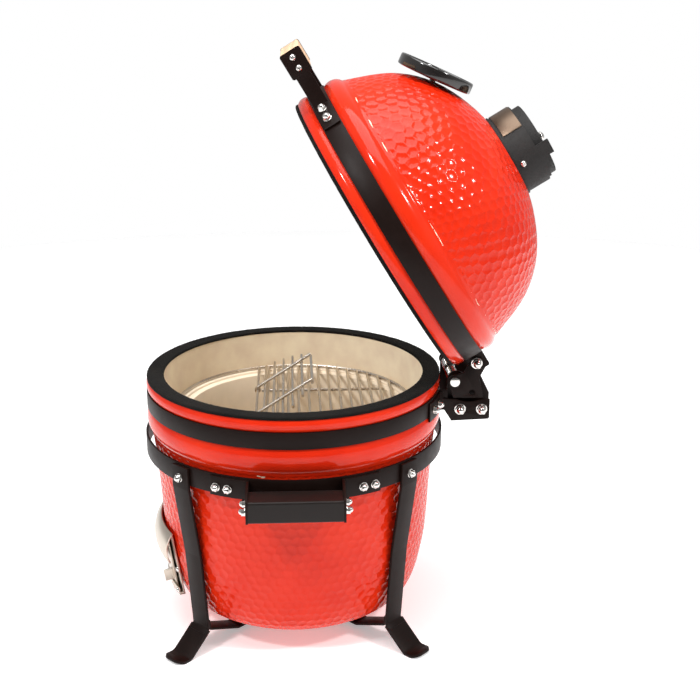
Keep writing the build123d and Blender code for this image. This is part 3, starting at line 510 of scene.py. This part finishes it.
def ball_cells(wall, centre_z, start, end, pitch):
    """Six-sided cells spread evenly over a dome, as lists of (arc length, angle)."""
    golden = (1 + math.sqrt(5)) / 2
    tips = [(0, a, b * golden) for a in (-1, 1) for b in (-1, 1)]
    tips = np.array(tips + [(a, b, 0) for _, a, b in tips] + [(b, 0, a) for _, a, b in tips], float)
    tips /= np.linalg.norm(tips[0])
    edge = min(np.linalg.norm(tips[0] - other) for other in tips[1:])
    faces = [(i, j, k) for i in range(12) for j in range(i + 1, 12) for k in range(j + 1, 12)
             if max(np.linalg.norm(tips[i] - tips[j]), np.linalg.norm(tips[j] - tips[k]),
                    np.linalg.norm(tips[i] - tips[k])) < edge * 1.01]
    dome_r = float(np.mean(np.hypot(wall.points[:, 0], wall.points[:, 1] - centre_z)))
    cuts = round(math.sqrt(0.4 * math.pi * dome_r**2 / (pitch**2 * math.sqrt(3) / 2)))
    tilt = np.array(Matrix.Rotation(0.31, 3, "X") @ Matrix.Rotation(0.2, 3, "Y"))
    around, spots = {}, {}
    for i, j, k in faces:
        def spot(a, b):
            p = tips[i] * (cuts - a - b) + tips[j] * a + tips[k] * b
            p = tilt @ (p / np.linalg.norm(p))
            key = tuple(np.round(p, 5))
            spots[key] = p
            return key
        for a in range(cuts):
            for b in range(cuts - a):
                corners = [(spot(a, b), spot(a + 1, b), spot(a, b + 1))]
                if a + b < cuts - 1:
                    corners.append((spot(a + 1, b), spot(a + 1, b + 1), spot(a, b + 1)))
                for three in corners:
                    middle = sum(spots[key] for key in three) / 3
                    for key in three:
                        around.setdefault(key, []).append(middle)
    angles = np.arctan2(wall.points[:, 0], wall.points[:, 1] - centre_z)
    order = np.argsort(angles)

    def place(p):
        turn = math.atan2(math.hypot(p[0], p[1]), p[2])
        s = float(np.interp(turn, angles[order], wall.lengths[order]))
        if turn > angles.max():
            s = -(turn - angles.max()) * dome_r
        if turn < angles.min():
            s = wall.total + (angles.min() - turn) * dome_r
        return s, math.atan2(p[1], p[0])

    cells = []
    for key, middles in around.items():
        p = spots[key]
        side = np.cross(p, (0.3, 0.5, 0.8))
        other = np.cross(p, side)
        middles.sort(key=lambda m: math.atan2(float(np.dot(m, other)), float(np.dot(m, side))))
        cell = [place(m) for m in middles]
        if max(s for s, _ in cell) > start and min(s for s, _ in cell) < end:
            cells.append(cell)
    return cells


def dimpled_skin(name, wall, cells, start, end, shape, seed):
    """The dimpled stretch of a wall: one dished cell for each dimple, cut off at both ends."""
    draw = random.Random(seed)
    corners, places, faces = {}, [], []
    for cell in cells:
        face = []
        for s, turn in cell:
            s = min(max(s, start), end)
            key = (round(s * 4), round(math.cos(turn) * 1500), round(math.sin(turn) * 1500))
            if key not in corners:
                loose = 0.0 if s in (start, end) else CORNER_SHIFT
                r, z = wall.at(s + draw.uniform(-loose, loose))
                turn += draw.uniform(-loose, loose) / max(r, 1)
                corners[key] = len(places)
                places.append((r * math.cos(turn) * MM, r * math.sin(turn) * MM, z * MM))
            if not face or corners[key] != face[-1]:
                face.append(corners[key])
        if face and face[0] == face[-1]:
            face.pop()
        if len(set(face)) == len(face) and len(face) > 2:
            faces.append(face)
    mesh = bpy.data.meshes.new(name)
    mesh.from_pydata(places, [], faces)
    mesh.validate()
    skin = bpy.data.objects.new(name, mesh)
    bpy.context.scene.collection.objects.link(skin)
    edit_all(skin)
    bpy.ops.mesh.remove_doubles(threshold=SKIN_WELD)
    bpy.ops.mesh.normals_make_consistent(inside=False)
    bpy.ops.object.mode_set(mode="OBJECT")
    full = shape.dimple_pitch**2 * math.sqrt(3) / 2
    for polygon in skin.data.polygons:
        polygon.select = polygon.area > 0.55 * full
    bpy.ops.object.mode_set(mode="EDIT")
    bpy.ops.mesh.select_mode(type="FACE")
    pitch, depth = shape.dimple_pitch, shape.dimple_depth
    for inset, drop in DIMPLE_STEPS:
        bpy.ops.mesh.inset(thickness=pitch * inset, depth=-depth * drop, use_individual=True,
                           use_even_offset=False)
    bpy.ops.mesh.poke()
    bpy.ops.object.mode_set(mode="OBJECT")
    return skin


def join_skin(body, skin):
    """Joins a dimpled skin to the turned body by bridging each of its two open edges."""
    only(body)
    skin.select_set(True)
    bpy.ops.object.join()
    bpy.ops.object.mode_set(mode="EDIT")
    bpy.ops.mesh.select_mode(type="EDGE")
    bpy.ops.mesh.select_all(action="DESELECT")
    bpy.ops.mesh.select_non_manifold(extend=False, use_wire=False, use_multi_face=False,
                                     use_non_contiguous=False, use_verts=False)
    bpy.ops.object.mode_set(mode="OBJECT")
    mesh = body.data
    picked = [e.index for e in mesh.edges if e.select]
    heights = {}
    for i in picked:
        a, b = mesh.edges[i].vertices
        heights[i] = (mesh.vertices[a].co.z + mesh.vertices[b].co.z) / 2
    middle = (min(heights.values()) + max(heights.values())) / 2
    for top in (False, True):
        for e in mesh.edges:
            e.select = False
        for v in mesh.vertices:
            v.select = False
        for i in picked:
            if (heights[i] > middle) == top:
                mesh.edges[i].select = True
        bpy.ops.object.mode_set(mode="EDIT")
        bpy.ops.mesh.bridge_edge_loops()
        bpy.ops.mesh.select_all(action="DESELECT")
        bpy.ops.object.mode_set(mode="OBJECT")
    return body


class KAMADO_OT_bowl(bpy.types.Operator):
    """Bowl with its two beads, its dimpled wall and its bare inside"""
    bl_idname = "kamado.bowl"
    bl_label = "Bowl"

    def execute(self, context):
        shape = context.scene.kamado_shape
        wall = Wall(BASE_WALL)
        start, end = 3.0, wall.total - 70.0
        outline = (BASE_BEADS[:-1] + wall.part(0.0, start - 2.0, 1.5), wall.part(end + 2.0, wall.total, 6.0)
                   + [(0.0, -341.0)], [(0.0, -318.0)] + BASE_INSIDE + [BASE_BEADS[0]])
        # The rim and beads are turned in one run with the inside; the underside closes the bottom.
        rim_run = [(0.0, BOWL_FLOOR)] + BASE_INSIDE + BASE_BEADS[:-1] + wall.part(0.0, start - SKIN_GAP, 1.5)
        inside = turned("bowl", metres(rim_run), TURN_STEPS)
        under_run = wall.part(end + SKIN_GAP, wall.total, 6.0) + [(0.0, BOWL_BOTTOM)]
        under = turned("bowl_under", metres(under_run), TURN_STEPS)
        only(inside)
        under.select_set(True)
        bpy.ops.object.join()
        cells = row_cells(wall, start, end, shape.dimple_pitch / MM)
        skin = dimpled_skin("bowl_skin", wall, cells, start, end, shape, 7)
        bowl = join_skin(inside, skin)
        edit_all(bowl)
        bpy.ops.mesh.normals_make_consistent(inside=False)
        bpy.ops.object.mode_set(mode="OBJECT")
        bowl.data.transform(BASE_PLACE)
        self.cut_draft_opening(bowl)
        paint(bowl, "red_glaze", "bare_ceramic")
        self.mark_outside(bowl)
        settle(bowl, 40)
        finish_piece(bowl, "base", "glazed_ceramic", "base_shell")
        return {"FINISHED"}

    def mark_outside(self, bowl):
        """Faces that look away from the axis, or down, are glazed."""
        door_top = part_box("draft_frame")[1].z
        for polygon in bowl.data.polygons:
            c, n = polygon.center, polygon.normal
            radial = (c.x * n.x + (c.y - BOWL_Y) * n.y) / max(math.hypot(c.x, c.y - BOWL_Y), 1e-6)
            tunnel = c.z < door_top and radial < 0.5 and n.z > -0.5
            glazed = (radial > 0.05 or n.z < -0.5) and c.z < RIM_Z - 3.2 * MM and not tunnel
            inside = math.hypot(c.x, c.y - BOWL_Y) < 170 * MM and c.z > RIM_Z - 0.25
            polygon.material_index = 0 if glazed and not inside else 1

    def cut_draft_opening(self, bowl):
        left, right = (math.radians(-90 + turn) for turn in DRAFT_TURN)
        cutter = turned("draft_cutter", metres(DRAFT_CUT), 12, right - left)
        edit_all(cutter)
        bpy.ops.mesh.select_all(action="DESELECT")
        bpy.ops.mesh.select_non_manifold()
        bpy.ops.mesh.edge_face_add()
        bpy.ops.mesh.select_all(action="SELECT")
        bpy.ops.mesh.normals_make_consistent(inside=False)
        bpy.ops.object.mode_set(mode="OBJECT")
        cutter.data.transform(BASE_PLACE @ Matrix.Rotation(left, 4, "Z"))
        modify(bowl, "BOOLEAN", object=cutter, operation="DIFFERENCE", solver="EXACT")
        bpy.data.objects.remove(cutter)


class KAMADO_OT_dome(bpy.types.Operator):
    """Domed lid with its two beads, its dimpled dome and its bare inside"""
    bl_idname = "kamado.dome"
    bl_label = "Dome"

    def execute(self, context):
        shape = context.scene.kamado_shape
        wall = Wall(LID_WALL)
        start, end = 4.0, wall.total - 2.0
        top = wall.part(wall.total - 0.5, wall.total, 0.5) + [VENT_HOLE]
        run = top + LID_INSIDE + LID_BEADS[:-1] + wall.part(0.0, start - SKIN_GAP, 1.5)
        dome = turned("dome", metres(run), TURN_STEPS)
        cells = ball_cells(wall, DOME_CENTRE_Z, start, end, shape.dimple_pitch / MM)
        skin = dimpled_skin("dome_skin", wall, cells, start, end, shape, 11)
        dome = join_skin(dome, skin)
        edit_all(dome)
        bpy.ops.mesh.normals_make_consistent(inside=False)
        bpy.ops.object.mode_set(mode="OBJECT")
        for polygon in dome.data.polygons:
            c, n = polygon.center, polygon.normal
            radial = (c.x * n.x + c.y * n.y) / max(math.hypot(c.x, c.y), 1e-6)
            glazed = (radial > 0.05 or n.z > 0.5) and c.z > 5.8 * MM
            polygon.material_index = 0 if glazed else 1
        dome.data.transform(LID_PLACE)
        marks = [polygon.material_index for polygon in dome.data.polygons]
        paint(dome, "red_glaze", "bare_ceramic")
        dome.data.polygons.foreach_set("material_index", marks)
        settle(dome, 40)
        finish_piece(dome, "lid", "glazed_ceramic", "lid_shell")
        return {"FINISHED"}


class KAMADO_OT_gaskets(bpy.types.Operator):
    """Felt rings on the bowl's and the lid's rims"""
    bl_idname = "kamado.gaskets"
    bl_label = "Gaskets"

    def execute(self, context):
        draw = random.Random(3)
        for name, node, place, low, high in (("felt_bowl", "base_gasket", BASE_PLACE, -3.0, 0.0),
                                             ("felt_lid", "lid_gasket", LID_PLACE, 0.5, 5.5)):
            free, fixed = (high, low) if node == "base_gasket" else (low, high)
            lift = 1 if free > fixed else -1
            outline = [(177.0, fixed), (177.0, free - 1.2 * lift), (178.0, free - 0.2 * lift), (182.0, free),
                       (188.5, free), (195.0, free), (199.0, free - 0.2 * lift), (200.0, free - 1.2 * lift),
                       (200.0, fixed), (177.0, fixed)]
            felt = turned(name, metres(outline), FELT_STEPS)
            for vertex in felt.data.vertices:
                out = Vector((vertex.co.x, vertex.co.y, 0)).normalized()
                if abs(vertex.co.z - fixed * MM) > 0.5 * MM:
                    vertex.co += out * draw.uniform(-0.28, 0.28) * MM
                    vertex.co.z -= abs(draw.gauss(0, 0.12)) * MM * lift
            felt.data.transform(place)
            settle(felt, 60)
            paint(felt, "black_felt")
            finish_piece(felt, BODY_OF[node], "felt", node)
        return {"FINISHED"}


class KAMADO_OT_firebricks(bpy.types.Operator):
    """Firebox and fire ring"""
    bl_idname = "kamado.firebricks"
    bl_label = "Firebricks"

    def execute(self, context):
        paint(refined("firebox", 1.2 * MM), "pale_ceramic")
        paint(refined("fire_ring", 1.2 * MM), "pale_ceramic")
        return {"FINISHED"}


class KAMADO_OT_grids(bpy.types.Operator):
    """Cooking grid, its folding part and the fire grate"""
    bl_idname = "kamado.grids"
    bl_label = "Grids"

    def execute(self, context):
        for node in ("cooking_grid", "grid_flap"):
            paint(refined(node, None, 40), "wire_steel")
        paint(refined("fire_grate", 0.5 * MM), "rough_iron")
        return {"FINISHED"}


class KAMADO_OT_steelwork(bpy.types.Operator):
    """Bands, stand, brackets, hinge and lid arms, in powder-coated steel"""
    bl_idname = "kamado.steelwork"
    bl_label = "Steelwork"

    def execute(self, context):
        rounding = context.scene.kamado_shape.edge_round
        for node, slot in sorted(SLOT_OF.items()):
            if slot == "black_steel":
                paint(refined(node, rounding), "powder_coat")
        for node in ("side_grip_right", "side_grip_left"):
            paint(refined(node, None, 30), "grip_coat")
        paint(refined("bowl_pad", 0.4 * MM), "silicone")
        return {"FINISHED"}


class KAMADO_OT_draft_door(bpy.types.Operator):
    """Draft frame, mesh screen and sliding door"""
    bl_idname = "kamado.draft_door"
    bl_label = "Draft door"

    def execute(self, context):
        for node in ("draft_frame", "draft_door"):
            paint(refined(node, 0.3 * MM), "sheet_steel")
        paint(refined("mesh_screen", None, 30), "sheet_steel")
        return {"FINISHED"}


class KAMADO_OT_fasteners(bpy.types.Operator):
    """Domed nuts, screws, the hinge pin and the thermometer's stem"""
    bl_idname = "kamado.fasteners"
    bl_label = "Fasteners"

    def execute(self, context):
        for node, slot in sorted(SLOT_OF.items()):
            if slot == "bright_fastener" and not node.startswith("hinge_spring"):
                paint(refined(node, 0.2 * MM, 34), "polished_steel")
        return {"FINISHED"}


class KAMADO_OT_springs(bpy.types.Operator):
    """Wound torsion springs round the hinge pin"""
    bl_idname = "kamado.springs"
    bl_label = "Hinge springs"

    def execute(self, context):
        shape = context.scene.kamado_shape
        for side in ("right", "left"):
            node = f"hinge_spring_{side}"
            low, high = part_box(node)
            centre = (low + high) / 2
            wire = shape.spring_wire
            coil_r = (high.z - low.z) / 2 - wire / 2
            width = high.x - low.x - wire
            only(None)
            bpy.ops.mesh.primitive_circle_add(vertices=10, radius=wire / 2, location=(coil_r, 0, 0),
                                              rotation=(math.pi / 2, 0, 0))
            spring = bpy.context.object
            spring.name = spring.data.name = f"coil_{side}"
            bpy.ops.object.transform_apply(location=True, rotation=True, scale=True)
            modify(spring, "SCREW", axis="Z", screw_offset=width / shape.spring_turns,
                   iterations=shape.spring_turns, steps=28, render_steps=28, use_normal_calculate=True)
            edit_all(spring)
            bpy.ops.mesh.remove_doubles(threshold=1e-6)
            bpy.ops.mesh.select_all(action="DESELECT")
            bpy.ops.mesh.select_non_manifold()
            bpy.ops.mesh.edge_face_add()
            bpy.ops.mesh.select_all(action="SELECT")
            bpy.ops.mesh.normals_make_consistent(inside=False)
            bpy.ops.object.mode_set(mode="OBJECT")
            spring.data.transform(Matrix.Translation(centre) @ Matrix.Rotation(math.pi / 2, 4, "Y")
                                  @ Matrix.Translation((0, 0, -width / 2)))
            settle(spring, 50)
            paint(spring, "polished_steel")
            finish_piece(spring, "base", "bright_fastener", node)
        return {"FINISHED"}


class KAMADO_OT_lid_handle(bpy.types.Operator):
    """Hardwood bar of the lid handle"""
    bl_idname = "kamado.lid_handle"
    bl_label = "Lid handle"

    def execute(self, context):
        paint(refined("lid_handle", 0.8 * MM, 30), "oiled_wood")
        return {"FINISHED"}


class KAMADO_OT_vent(bpy.types.Operator):
    """Cast-iron top vent with its turning cap and blank label plate"""
    bl_idname = "kamado.vent"
    bl_label = "Top vent"

    def execute(self, context):
        for node in ("vent_base", "vent_cap"):
            paint(refined(node, 0.9 * MM, 30), "rough_iron")
        paint(refined("name_plate", 0.2 * MM), "label_metal")
        return {"FINISHED"}


class KAMADO_OT_thermometer(bpy.types.Operator):
    """Thermometer: gloss case with a turned lip, printed dial, needle and glass"""
    bl_idname = "kamado.thermometer"
    bl_label = "Thermometer"

    TILT = math.radians(34.9)
    CENTRE = Vector((0, -136.3, 169.5)) * MM
    MARKS = 45
    LABELS = ("50", "100", "150", "200", "250", "300", "350")

    def execute(self, context):
        place = LID_PLACE @ Matrix.Translation(self.CENTRE) @ Matrix.Rotation(self.TILT, 4, "X")
        outline = [(0, 1.7), (47.0, 1.7), (49.6, 2.4), (50.4, 3.6), (50.4, 13.9), (50.1, 15.3), (49.2, 16.2),
                   (47.9, 16.5), (46.9, 16.1), (46.3, 15.0), (45.9, 13.4), (45.9, 6.05), (0, 6.05)]
        case = turned("thermometer_case", metres(outline), 128)
        case.data.transform(place)
        settle(case, 50)
        paint(case, "gloss_black")
        finish_piece(case, "lid", "case_black", "thermo_case")
        paint(refined("thermo_dial", 0.1 * MM), "dial_white")
        paint(refined("thermo_needle", 0.1 * MM), "needle_red")
        paint(refined("thermo_lens", 0.15 * MM), "dial_glass")
        self.print_dial(place)
        return {"FINISHED"}

    def print_dial(self, place):
        """Ticks and temperatures on the dial, in raised ink."""
        first, last = math.radians(215), math.radians(-35)
        ink_z = 7.0 * MM
        parts = []
        for i in range(self.MARKS + 1):
            turn = first + (last - first) * i / self.MARKS
            long = i % 5 == 0
            only(None)
            bpy.ops.mesh.primitive_cube_add(size=1)
            tick = bpy.context.object
            tick.dimensions = ((6.0 if long else 3.2) * MM, (0.9 if long else 0.5) * MM, 0.12 * MM)
            bpy.ops.object.transform_apply(location=False, rotation=False, scale=True)
            reach = (40.0 if long else 41.4) * MM
            tick.data.transform(Matrix.Rotation(turn, 4, "Z") @ Matrix.Translation((reach, 0, ink_z)))
            parts.append(tick)
        for i, label in enumerate(self.LABELS):
            turn = first + (last - first) * (i + 1) * 5 / self.MARKS * 1.125
            only(None)
            bpy.ops.object.text_add()
            word = bpy.context.object
            word.data.body = label
            word.data.size = 6.2 * MM
            word.data.extrude = 0.05 * MM
            word.data.align_x, word.data.align_y = "CENTER", "CENTER"
            bpy.ops.object.convert(target="MESH")
            word = bpy.context.object
            spot = (31.0 * MM * math.cos(turn), 31.0 * MM * math.sin(turn), ink_z)
            word.data.transform(Matrix.Translation(spot))
            parts.append(word)
        only(parts[0])
        for part in parts:
            part.select_set(True)
        bpy.ops.object.join()
        print_mesh = bpy.context.object
        print_mesh.name = print_mesh.data.name = "dial_print"
        print_mesh.data.transform(place)
        settle(print_mesh, 30)
        paint(print_mesh, "dial_ink")
        finish_piece(print_mesh, "lid", "dial_face")


FLOOR_RADIUS = 2.6
SOFTBOXES = (("softbox_right", (0.44, 0.595, 0.66)), ("softbox_left", (0.49, -0.49, 0.70)))
SOFTBOX_AWAY = 2.6
SOFTBOX_SIZE = 0.26
OVERHEAD_AT = (0.2, BOWL_Y, 2.7)
OVERHEAD_SIZE = 2.0
CAMERA_PITCH = math.radians(17.508)
CAMERA_YAW = 0.0495
CAMERA_AWAY = 1.5627
CAMERA_ABOVE_RIM = 0.5168


class KAMADO_OT_studio(bpy.types.Operator):
    """Pale floor, plain soft light and the camera"""
    bl_idname = "kamado.studio"
    bl_label = "Studio"

    def execute(self, context):
        scene, studio = context.scene, context.scene.kamado_studio
        only(None)
        bpy.ops.mesh.primitive_circle_add(vertices=96, radius=FLOOR_RADIUS, fill_type="NGON")
        floor = bpy.context.object
        floor.name = floor.data.name = "studio_floor"
        MATERIALS["studio_floor"] = surface("studio_floor", *shades(tuple(studio.floor), 0.01), (0.6, 0.7),
                                            size=60.0, bump=0.02, Emission_Color=(1, 1, 1, 1),
                                            Emission_Strength=0.35)
        paint(floor, "studio_floor")
        self.surround(scene, studio)
        target = Vector((0, BOWL_Y, 0.45))
        for name, direction in SOFTBOXES:
            aim = Vector(direction).normalized()
            bpy.ops.object.light_add(type="AREA", location=target + aim * SOFTBOX_AWAY)
            lamp = bpy.context.object
            lamp.name = name
            lamp.data.shape = "SQUARE"
            lamp.data.size = SOFTBOX_SIZE
            lamp.data.energy = studio.lamp
            lamp.rotation_euler = (-aim).to_track_quat("-Z", "Y").to_euler()
        bpy.ops.object.light_add(type="AREA", location=OVERHEAD_AT)
        above = bpy.context.object
        above.name = "softbox_above"
        above.data.size = OVERHEAD_SIZE
        above.data.energy = studio.overhead
        self.camera(scene, studio)
        scene.view_settings.view_transform = "Standard"
        scene.view_settings.look = "None"
        scene.view_settings.exposure = 0.0
        return {"FINISHED"}

    def surround(self, scene, studio):
        """White walls to the eye, softer as a source, with the dark end of the room behind the camera."""
        world = bpy.data.worlds.new("studio")
        scene.world = world
        world.use_nodes = True
        tree = world.node_tree
        back = tree.nodes["Background"]
        where = node_in(tree, "ShaderNodeTexCoord")
        toward = node_in(tree, "ShaderNodeVectorMath",
                         {0: where.outputs["Generated"], 1: Vector((0.97, -0.03, 0.22)).normalized()},
                         operation="DOT_PRODUCT")
        dim = node_in(tree, "ShaderNodeMapRange", {"Value": toward.outputs["Value"], "From Min": 0.55,
                                                   "From Max": 0.97, "To Min": 1.0, "To Max": 0.28})
        level = node_in(tree, "ShaderNodeMath", {0: dim.outputs[0], 1: studio.surround}, operation="MULTIPLY")
        path = node_in(tree, "ShaderNodeLightPath")
        seen = node_in(tree, "ShaderNodeMix", {"Factor": path.outputs["Is Camera Ray"], "A": level.outputs[0],
                                               "B": 1.0}, data_type="FLOAT")
        back.inputs["Color"].default_value = (1, 1, 1, 1)
        tree.links.new(seen.outputs[0], back.inputs["Strength"])

    def camera(self, scene, studio):
        pitch, yaw = CAMERA_PITCH, CAMERA_YAW
        level = math.cos(pitch)
        forward = Vector((-level * math.cos(yaw), level * math.sin(yaw), -math.sin(pitch)))
        right = Vector((math.sin(yaw), math.cos(yaw), 0))
        up = right.cross(forward)
        place = Vector((CAMERA_AWAY, BOWL_Y, RIM_Z + CAMERA_ABOVE_RIM))
        bpy.ops.object.camera_add()
        camera = bpy.context.object
        camera.matrix_world = Matrix((*zip(right, up, -forward, place), (0, 0, 0, 1)))
        camera.data.lens = studio.lens
        camera.data.sensor_width = 36
        camera.data.clip_end = 100
        scene.camera = camera


class KAMADO_PT_panel(bpy.types.Panel):
    bl_label = "Kamado grill"
    bl_idname = "KAMADO_PT_panel"
    bl_space_type = "VIEW_3D"
    bl_region_type = "UI"
    bl_category = "Kamado"

    def draw(self, context):
        for group in (context.scene.kamado_shape, context.scene.kamado_finish, context.scene.kamado_studio):
            box = self.layout.box()
            for key in group.__annotations__:
                box.prop(group, key)
        for operator in STEPS:
            self.layout.operator(operator.bl_idname)


STEPS = (KAMADO_OT_bowl, KAMADO_OT_dome, KAMADO_OT_gaskets, KAMADO_OT_firebricks, KAMADO_OT_grids,
         KAMADO_OT_steelwork, KAMADO_OT_draft_door, KAMADO_OT_fasteners, KAMADO_OT_springs,
         KAMADO_OT_lid_handle, KAMADO_OT_vent, KAMADO_OT_thermometer, KAMADO_OT_studio)
GROUPS_OF_SETTINGS = (("kamado_shape", KamadoShape), ("kamado_finish", KamadoFinish),
                      ("kamado_studio", KamadoStudio))


def register():
    for name, group in GROUPS_OF_SETTINGS:
        bpy.utils.register_class(group)
        setattr(bpy.types.Scene, name, PointerProperty(type=group))
    for operator in (*STEPS, KAMADO_PT_panel):
        bpy.utils.register_class(operator)


def unregister():
    for operator in reversed((*STEPS, KAMADO_PT_panel)):
        bpy.utils.unregister_class(operator)
    for name, group in reversed(GROUPS_OF_SETTINGS):
        delattr(bpy.types.Scene, name)
        bpy.utils.unregister_class(group)


def main():
    register()
    make_materials(bpy.context.scene.kamado_finish)
    for operator in STEPS:
        module, name = operator.bl_idname.split(".")
        getattr(getattr(bpy.ops, module), name)()
    only(None)


if __name__ == "__main__":
    main()
